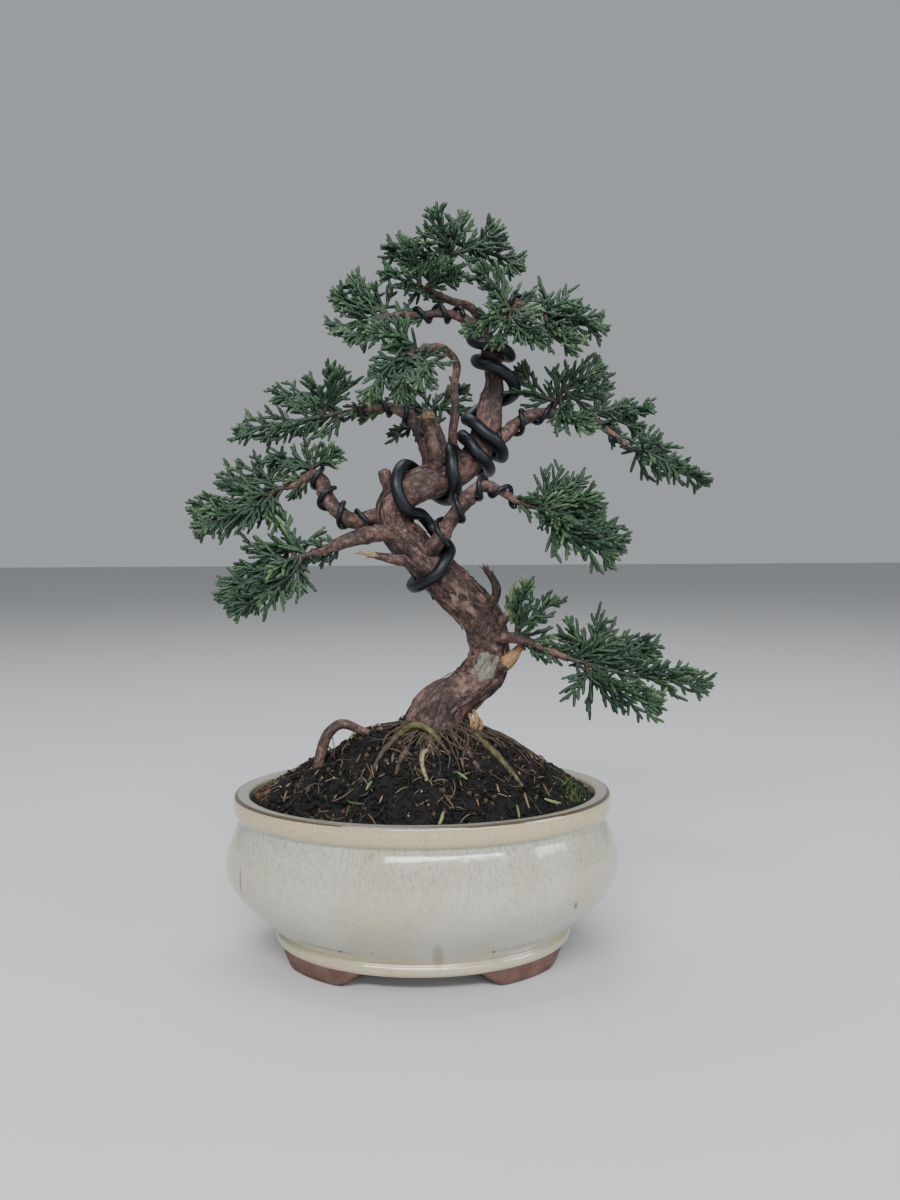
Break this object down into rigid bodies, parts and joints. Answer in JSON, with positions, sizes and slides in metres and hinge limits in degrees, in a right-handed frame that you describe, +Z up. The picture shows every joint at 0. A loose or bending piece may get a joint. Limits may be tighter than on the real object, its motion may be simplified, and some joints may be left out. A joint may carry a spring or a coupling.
{
  "type": "bonsai tree in a pot",
  "caption": "Wired juniper bonsai with an S-curved trunk and layered scale foliage, in an oval cream glazed pot on bracket feet.",
  "frame": {"origin": "on the ground, under the middle of the whole plant's box", "axes": "+Z up, +X to the right seen from the front, the front faces -Y"},
  "size_m": [0.1628, 0.087, 0.2278],
  "materials": {
    "pot_glaze": "gloss",
    "drain_mesh": "matte",
    "soil_mix": "matte",
    "bark": "matte",
    "bare_wood": "matte",
    "root_bark": "matte",
    "training_wire": "satin",
    "foliage": "satin"
  },
  "bodies": {
    "root": {"branch_back": "bark", "branch_crown_left": "bark", "branch_crown_right": "bark", "branch_crown_top": "bark", "branch_inner": "bark", "branch_low_left": "bark", "branch_low_right": "bark", "branch_mid_left": "bark", "branch_mid_right": "bark", "branch_upper_left": "bark", "branch_upper_right": "bark", "dead_stub_left": "bare_wood", "dead_twig_right": "bare_wood", "drain_screen_left": "drain_mesh", "drain_screen_right": "drain_mesh", "pot": "pot_glaze", "root_arch": "root_bark", "root_green_arch": "root_bark", "root_left_long": "root_bark", "root_left_short": "root_bark", "root_pale": "root_bark", "root_right_long": "root_bark", "root_right_ridge": "root_bark", "root_right_short": "root_bark", "sawn_stub_bend": "bare_wood", "sawn_stub_upright": "bare_wood", "soil": "soil_mix", "spray_back": "foliage", "spray_crown_front": "foliage", "spray_crown_left": "foliage", "spray_crown_middle": "foliage", "spray_crown_right": "foliage", "spray_crown_top": "foliage", "spray_front_left": "foliage", "spray_low_left": "foliage", "spray_low_right": "foliage", "spray_low_right_tuft": "foliage", "spray_mid_left": "foliage", "spray_mid_left_top": "foliage", "spray_mid_right": "foliage", "spray_right_droop": "foliage", "spray_right_shoot": "foliage", "spray_upper_left": "foliage", "spray_upper_right": "foliage", "torn_stub_right": "bare_wood", "torn_tip_right": "bare_wood", "trunk": "bark", "trunk_wire": "training_wire", "wire_crown_left": "training_wire", "wire_crown_right": "training_wire", "wire_mid_left": "training_wire", "wire_mid_right": "training_wire", "wire_upper_left": "training_wire", "wire_upper_right": "training_wire"}
  },
  "joints": []
}
